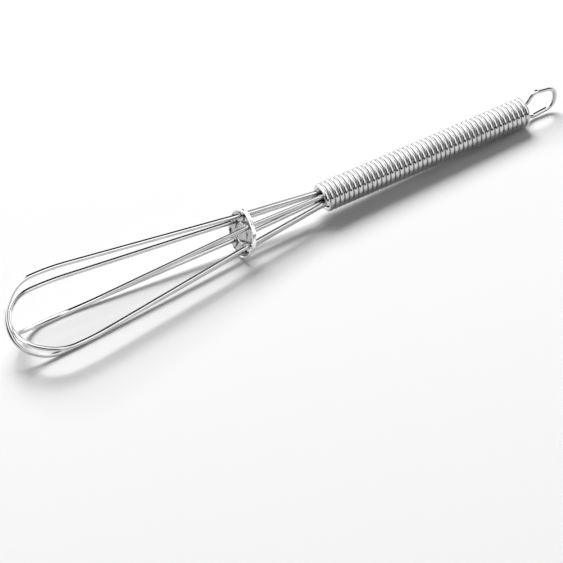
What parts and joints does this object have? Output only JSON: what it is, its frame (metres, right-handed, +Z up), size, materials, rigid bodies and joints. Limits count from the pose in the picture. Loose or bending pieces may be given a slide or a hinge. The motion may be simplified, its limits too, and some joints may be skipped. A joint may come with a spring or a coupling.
{
  "type": "balloon whisk",
  "caption": "Small wire balloon whisk: nested loops pass through a round spreader disc into a close-wound coil handle that ends in a hanging eye.",
  "frame": {"origin": "centre of the bounding box, on the flat surface that the whisk lies on", "axes": "+X along the whisk from the tip of the cage to the hanging loop, +Z up from the surface, +Y across"},
  "size_m": [0.1758, 0.0248, 0.0182],
  "materials": {
    "cage_wire": "polished",
    "disc_plate": "polished, lightly drawn by the stamping",
    "coil_wire": "polished",
    "hanger_wire": "polished"
  },
  "bodies": {
    "root": {"tine_loop_outer": "cage_wire", "tine_loop_middle": "cage_wire", "tine_loop_inner": "cage_wire", "spreader_disc": "disc_plate", "handle_coil": "coil_wire", "hanging_loop": "hanger_wire"}
  },
  "joints": []
}
